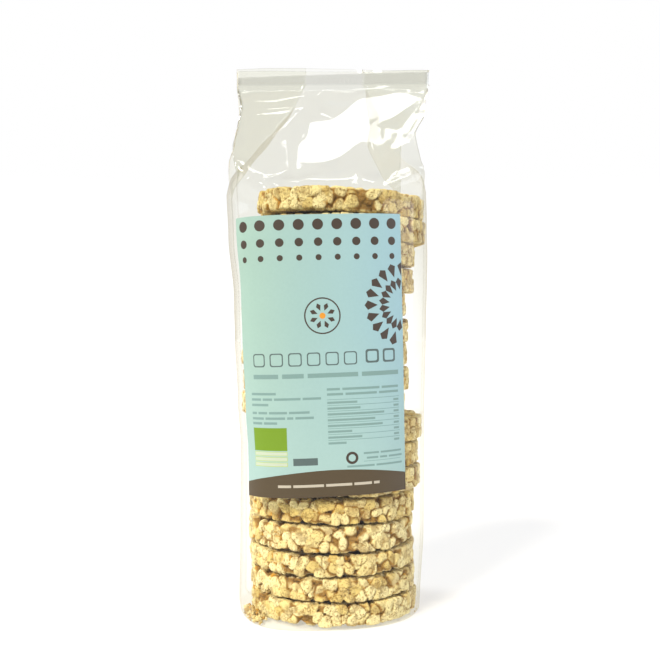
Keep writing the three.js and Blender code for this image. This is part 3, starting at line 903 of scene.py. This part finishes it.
def label_print():
    """The shapes printed on the label, as (ink, outline), later ones over earlier ones."""
    shapes = []
    half_u, half_v = LABEL_WIDTH / 2, LABEL_HEIGHT / 2
    # Three rows of dots that shrink downwards, and rings of petals round a point on the right edge
    for v, radius in ((64.5, 2.7), (56, 2.1), (48.5, 1.5)):
        shapes += [("brown", disc(-37.6 + column * 9.4, v, radius)) for column in range(9)]
    for k in range(10):
        turn = math.radians(99 + 18 * k)
        shapes.append(("brown", petal(43, 24.5, turn, 7.5, 13.5, 1.8)))
        shapes.append(("brown", petal(43, 24.5, turn - math.radians(9), 14, 21, 2.3)))
    # A ring with a rosette in it
    shapes += [("brown", disc(1, 20, 9, 48)), ("ground", disc(1, 20, 8.3, 48))]
    shapes += [("brown", petal(1, 20, math.radians(22.5 + 45 * k), 2.6, 6.6, 1.2)) for k in range(8)]
    shapes.append(("orange", disc(1, 20, 1.5)))
    # The title and the line below it
    for k in range(6):
        shapes.append(("slate", capsule(-34.6 + 9.1 * k, -1.1, 6.6, 6.6)))
        shapes.append(("ground", capsule(-34, -1.1, 5.4, 5.4, 9.1 * k)))
    for k in range(2):
        shapes.append(("slate", capsule(21.8 + 9.1 * k, -0.5, 7, 6.8)))
        shapes.append(("ground", capsule(22.8, -0.5, 5, 4.8, 9.1 * k)))
    shapes += [("haze", outline) for outline in dashes(-35, -9.2, (13.5, 10.5, 25, 20), 1.9, 2.2)]
    # Two short paragraphs at the left
    for v, lengths in ((-17.7, (14,)), (-20.4, (6, 5, 13, 9)), (-23.1, (10,))):
        shapes += [("haze", outline) for outline in dashes(-37, v, lengths, 1, 1.2)]
    for v, lengths in ((-27.1, (3, 5, 9, 10)), (-29.8, (7, 10, 3, 9)), (-32.2, (6, 7))):
        shapes += [("haze", outline) for outline in dashes(-36.8, v, lengths, 1, 1.2)]
    # A table: two heading lines, then rows with a rule over each
    for v, lengths in ((-16.2, (6.5, 19, 9.5)), (-18.7, (8, 16, 11))):
        shapes += [("haze", outline) for outline in dashes(2, v, lengths, 1.2, 1.2)]
    for row, length in enumerate((15, 16.5, 29, 24, 28, 12, 17, 9)):
        v = -21.3 - row * 2.87
        shapes += [("haze", bar(2, v, 38, 0.28)), ("haze", bar(2, v - 1.5, length, 1.1))]
        shapes.append(("haze", bar(36.4, v - 1.5, 3.2, 1.1)))
    # A green field over three white strips, a dark strip beside them, and a ring with three lines
    shapes.append(("green", bar(-36.6, -40.2, 18.4, 11.4)))
    for v in (-47.4, -50, -52.7):
        shapes += [("pale_green", bar(-36.4, v, 18.2, 2.1)), ("white", bar(-36.1, v, 17.6, 1.5))]
    shapes.append(("slate", bar(-15.5, -51.6, 12, 3.6)))
    shapes += [("brown", disc(13.6, -50.6, 3.1, 32)), ("ground", disc(13.6, -50.6, 1.8, 24))]
    for u, v, lengths in ((19.5, -48.6, (8, 12)), (21, -51, (6, 4, 8)), (11, -54.8, (14, 15))):
        shapes += [("haze", outline) for outline in dashes(u, v, lengths, 1, 1)]
    shapes.append(("haze", bar(19.5, -52.6, 20.5, 0.25)))
    # The arched band along the foot, with a line of dashes in it
    arch = [(u, -62.3 + 6.2 * (1 - ((u - 4) / (half_u + 4)) ** 2)) for u in np.linspace(half_u, -half_u, 45)]
    shapes.append(("band", [(-half_u, -half_v), (half_u, -half_v)] + arch))
    shapes += [("cream", outline) for outline in dashes(-23.5, -63.6, (6.5, 15, 13, 9, 3), 1.1, 1.3)]
    return shapes


def finely_cut(outline, step=2.0):
    """An outline with points added along its long sides, so that it can bend with the label."""
    cut = []
    for (u0, v0), (u1, v1) in zip(outline, outline[1:] + outline[:1]):
        count = max(1, math.ceil(math.hypot(u1 - u0, v1 - v0) / step))
        cut += [(u0 + (u1 - u0) * k / count, v0 + (v1 - v0) * k / count) for k in range(count)]
    return cut


def paper_label():
    """The label: its face cut along the print's outlines, bent round the film, and the paper's back."""
    inks = {
        "ground": label_ground(),
        "brown": printed_paper("paper_brown", "#3E332A"),
        "slate": printed_paper("paper_slate", "#4F5E5C"),
        "haze": printed_paper("paper_haze", "#73908B"),
        "green": printed_paper("paper_green", "#6B8C14"),
        "pale_green": printed_paper("paper_pale_green", "#A5B86A"),
        "white": printed_paper("paper_white", "#B4BDA8"),
        "orange": printed_paper("paper_orange", "#D08A2A"),
        "band": printed_paper("paper_olive_brown", "#4B3E29"),
        "cream": printed_paper("paper_cream", "#B3AA98"),
    }
    slots = {name: i for i, name in enumerate(inks)}
    half_u, half_v = LABEL_WIDTH / 2, LABEL_HEIGHT / 2
    coords, loops, kinds = [], [], []
    sheet = [(-half_u, -half_v), (half_u, -half_v), (half_u, half_v), (-half_u, half_v)]
    for name, outline in [("ground", sheet)] + label_print():
        cut = finely_cut([(min(max(u, -half_u), half_u), min(max(v, -half_v), half_v)) for u, v in outline])
        loops.append(list(range(len(coords), len(coords) + len(cut))))
        coords += [Vector(corner) for corner in cut]
        kinds.append(slots[name])
    for u in np.linspace(-half_u, half_u, 44)[1:-1]:
        coords += [Vector((float(u), float(v))) for v in np.linspace(-half_v, half_v, 70)[1:-1]]
    flat, _, triangles, _, _, origins = delaunay_2d_cdt(coords, [], loops, 1, 1e-3)
    face, outward = label_skin(*np.array([tuple(p) for p in flat]).T)
    count = len(face)
    points = np.concatenate([face, face - outward * PAPER_THICKNESS])
    sides = [(t[k], t[(k + 1) % 3]) for t in triangles for k in range(3)]
    lone = set(sides) - {(b, a) for a, b in sides}
    under = [tuple(count + i for i in reversed(t)) for t in triangles]
    rim = [(b, a, a + count, b + count) for a, b in lone]
    piece = mesh_piece("label_paper", points, list(triangles) + under + rim, inks["ground"])
    mesh = piece.data
    for name in list(inks)[1:]:
        mesh.materials.append(inks[name])
    indices = [kinds[max(origin)] if origin else 0 for origin in origins]
    indices += [slots["white"]] * (len(under) + len(rim))
    mesh.polygons.foreach_set("material_index", indices)
    edge_of_paper = {frozenset(side) for side in lone} | {frozenset((a + count, b + count)) for a, b in lone}
    for edge in mesh.edges:
        if frozenset(edge.vertices) in edge_of_paper:
            edge.use_edge_sharp = True
    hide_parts("label")
    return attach(piece, "root")


# ---- The crumbs ----


def crumbs(material):
    """Bits of broken grain that have gathered on the bag's base, in the corners beside the stack."""
    rng = np.random.default_rng(42)
    tries, most = 900, 190
    points, faces, tones = [], [], []
    turns = np.linspace(0, 2 * math.pi, 8, endpoint=False)
    lifts = np.array([-1, -0.6, 0.1, 0.7, 1])
    ball = np.array(
        [
            (width * math.cos(t), width * math.sin(t), h)
            for h, width in zip(lifts, np.sqrt(np.maximum(1 - lifts**2, 0.01)))
            for t in turns
        ]
    )
    ball_faces = grid_faces(len(lifts), len(turns), closed=True)
    for _ in range(tries):
        angle = rng.choice([1.03, 1.07, 1.11, 1.16, 1.88]) * math.pi + rng.normal(0, 0.06)
        edge = sleeve_point(angle, 4.0)
        reach = np.linalg.norm(edge)
        bottom_cake = np.array([CAKE_SLIDES[0], 0])
        size = rng.uniform(0, 1) ** 2.5 * 1.5 + 0.35
        place = edge * (1 - (size + 1.2 + rng.uniform(0, 9)) / reach)
        gap = np.linalg.norm(place - bottom_cake) - CAKE_RADIUS - size
        if gap < 0.2 or len(points) > most:
            continue
        stretch = rng.uniform(0.6, 1.2, 3)
        lift = 0.5 + size * stretch[2] * 1.1 + rng.uniform(0, 1) ** 2 * max(0, 3.0 - 0.5 * abs(gap - 2))
        uneven = 0.35 * noise(ball, 0.7, int(rng.integers(1000)))[:, None]
        lump = ball * size * stretch + size * uneven * ball
        spin = rng.uniform(0, 2 * math.pi)
        x = lump[:, 0] * math.cos(spin) - lump[:, 1] * math.sin(spin)
        y = lump[:, 0] * math.sin(spin) + lump[:, 1] * math.cos(spin)
        faces.append(ball_faces + len(points) * len(ball))
        points.append(np.stack([x + place[0], y + place[1], lump[:, 2] + lift], 1))
        tones.append(np.full(len(ball), rng.uniform(0, 1)))
    tones = np.concatenate(tones)
    marks = {"grain_tone": tones, "shade_and_toast": 0.3 * tones, "bran": (tones > 0.85) * 0.6}
    piece = mesh_piece("crumbs", np.concatenate(points), np.concatenate(faces), material, marks)
    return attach(piece, "root")


# ---- The studio ----


def pale_floor():
    material, tree = new_material("pale_floor")
    settings = {"Base Color": linear("#B4B4B4"), "Roughness": 0.8}
    settings.update({"Emission Color": (1, 1, 1, 1), "Emission Strength": 0.5})
    surface = add(tree, "BsdfPrincipled", settings)
    add(tree, "OutputMaterial", links={"Surface": surface})
    side = 6000
    corners = [(-side, -side, 0), (side, -side, 0), (side, side, 0), (-side, side, 0)]
    floor = mesh_piece("floor", corners, [(0, 1, 2, 3)], material)


def lamp_box(name, place, aim, size, power, colour):
    """A soft box at a place in metres, turned to shine at another."""
    data = bpy.data.lights.new(name, "AREA")
    data.shape = "RECTANGLE"
    data.size, data.size_y = size
    data.energy = power
    data.color = colour
    box = bpy.data.objects.new(name, data)
    box.location = place
    box.rotation_euler = (Vector(place) - Vector(aim)).to_track_quat("Z", "Y").to_euler()
    box.visible_camera = False
    bpy.context.scene.collection.objects.link(box)


def studio_light():
    """A white room, darker overhead and behind the camera, with three far lamps and a soft box.

    The key is at the upper left, and a cool fill at the right. The lamp from behind and above whitens
    the floor. The soft box hangs over the camera's right and shows in the film's facets.
    """
    scene = bpy.context.scene
    world = bpy.data.worlds.new("white_room")
    world.use_nodes = True
    tree = world.node_tree
    tree.nodes.clear()
    way = add(tree, "TexCoord").outputs["Generated"]
    axes = add(tree, "SeparateXYZ", links={"Vector": way})
    room = add(
        tree,
        "MapRange",
        {"From Min": 0.1, "From Max": 0.6, "To Min": 0.8, "To Max": 0.3},
        {"Value": axes.outputs["Z"]},
    )
    behind = add(
        tree,
        "MapRange",
        {"From Min": -1, "From Max": 0.2, "To Min": 0.68, "To Max": 1},
        {"Value": axes.outputs["Y"]},
    )
    dim = add(tree, "Math", links={0: room, 1: behind}, operation="MULTIPLY")
    seen = add(tree, "LightPath").outputs["Is Camera Ray"]
    wall = add(
        tree,
        "MapRange",
        {"From Min": 0.0, "From Max": 0.14, "To Min": 1.17, "To Max": 1.0},
        {"Value": axes.outputs["Z"]},
    )
    glow = add(tree, "Mix", links={"Factor": seen, "A": dim, "B": wall}, data_type="FLOAT")
    hue = add(tree, "Mix", {6: (1, 0.975, 0.91, 1), 7: (1, 1, 1, 1)}, {0: seen}, data_type="RGBA")
    white = add(tree, "Background", links={"Color": hue.outputs[2], "Strength": glow})
    add(tree, "OutputWorld", links={"Surface": white})
    scene.world = world

    sun_lamp("key", (-0.75, -0.78, 0.9), 3.4, 14, (1, 0.96, 0.88))
    sun_lamp("behind", (-0.6, 0.35, 0.75), 1.5, 20, (0.97, 0.98, 1))
    sun_lamp("fill", (1, -0.3, 0.25), 1.3, 50, (0.75, 0.8, 1))
    lamp_box("soft_box", (0.43, -0.46, 1.85), (0.43, -0.46, 0), (0.88, 0.32), 7.8, (1, 1, 1))


def sun_lamp(name, way, strength, spread, colour):
    """A far soft lamp that shines from one way over the whole scene. spread is its width in degrees."""
    data = bpy.data.lights.new(name, "SUN")
    data.energy = strength
    data.angle = math.radians(spread)
    data.color = colour
    lamp = bpy.data.objects.new(name, data)
    lamp.rotation_euler = Vector(way).to_track_quat("Z", "Y").to_euler()
    bpy.context.scene.collection.objects.link(lamp)


def camera():
    """The camera stands a little to the left of the label's middle, at about half the bag's height."""
    distance, height, turn = 0.518, 0.156, math.radians(8)
    pitch = math.radians(3.0)
    data = bpy.data.cameras.new("camera")
    data.sensor_width = 36
    data.lens = 961 * 36 / 660
    data.shift_x = 0.0015
    data.shift_y = 0.0591
    data.clip_start = 0.01
    stand = bpy.data.objects.new("camera", data)
    stand.location = (-distance * math.sin(turn), -distance * math.cos(turn), height)
    ahead = Vector((math.sin(turn) * math.cos(pitch), math.cos(turn) * math.cos(pitch), -math.sin(pitch)))
    stand.rotation_euler = ahead.to_track_quat("-Z", "Y").to_euler()
    bpy.context.scene.collection.objects.link(stand)
    bpy.context.scene.camera = stand


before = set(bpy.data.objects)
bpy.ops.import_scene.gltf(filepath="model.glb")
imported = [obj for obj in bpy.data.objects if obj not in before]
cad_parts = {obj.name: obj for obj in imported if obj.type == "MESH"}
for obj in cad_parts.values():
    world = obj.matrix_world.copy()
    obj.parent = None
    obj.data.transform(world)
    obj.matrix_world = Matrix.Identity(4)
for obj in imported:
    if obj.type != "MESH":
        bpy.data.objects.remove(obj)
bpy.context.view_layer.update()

camera()
studio_light()
pale_floor()
wheat = stack_of_cakes()
crumbs(wheat)
film_bag()
paper_label()

bpy.context.scene.view_settings.view_transform = "Standard"
bpy.context.scene.cycles.transparent_max_bounces = 24
